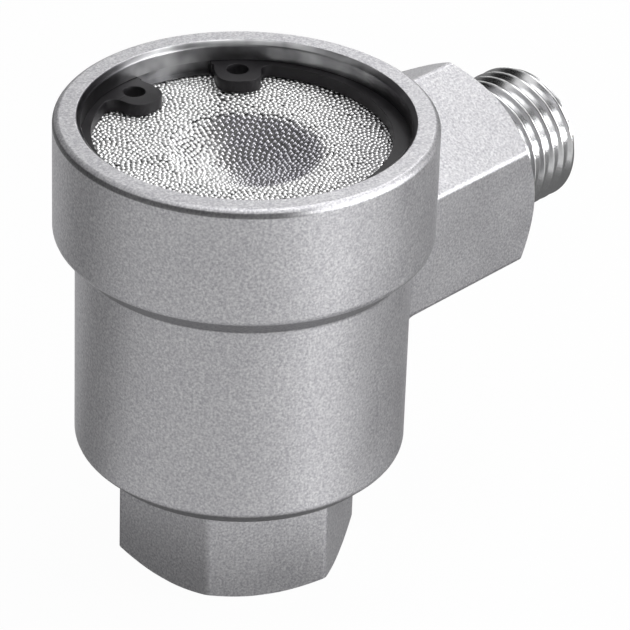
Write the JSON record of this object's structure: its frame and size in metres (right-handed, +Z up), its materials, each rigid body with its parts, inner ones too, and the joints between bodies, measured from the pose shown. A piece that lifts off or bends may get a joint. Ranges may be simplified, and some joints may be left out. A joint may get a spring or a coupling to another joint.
{
  "type": "quick exhaust valve",
  "caption": "Stepped round valve with a hexagon foot holding a female thread, a hexagon side arm ending in a male thread, a cup seal inside and a sintered silencer under a retaining ring.",
  "frame": {"origin": "centre of the supply port's mouth, on the foot's lower face", "axes": "+Z up along the barrel to the silencer, +X along the arm, out of the outlet thread"},
  "size_m": [0.056, 0.034, 0.044],
  "materials": {
    "cast_zinc": "bead-blasted die casting, silver grey, machined bright on the thread and in the bore",
    "polyurethane": "smooth dark blue rubber",
    "acetal": "turned, off-white",
    "nitrile": "matt black",
    "sintered_metal": "sintered bright beads of 0.45 mm",
    "spring_steel": "black phosphated and oiled"
  },
  "bodies": {
    "housing": {"valve_body": "cast_zinc", "exhaust_seat": "acetal", "seat_o_ring": "nitrile", "silencer_disc": "sintered_metal", "retaining_ring": "spring_steel"},
    "cup": {"cup_seal": "polyurethane"}
  },
  "joints": [
    {"name": "cup_lift", "type": "slide", "parent": "housing", "child": "cup", "axis": [0, 0, 1], "range_m": [0, 0.0023]}
  ]
}
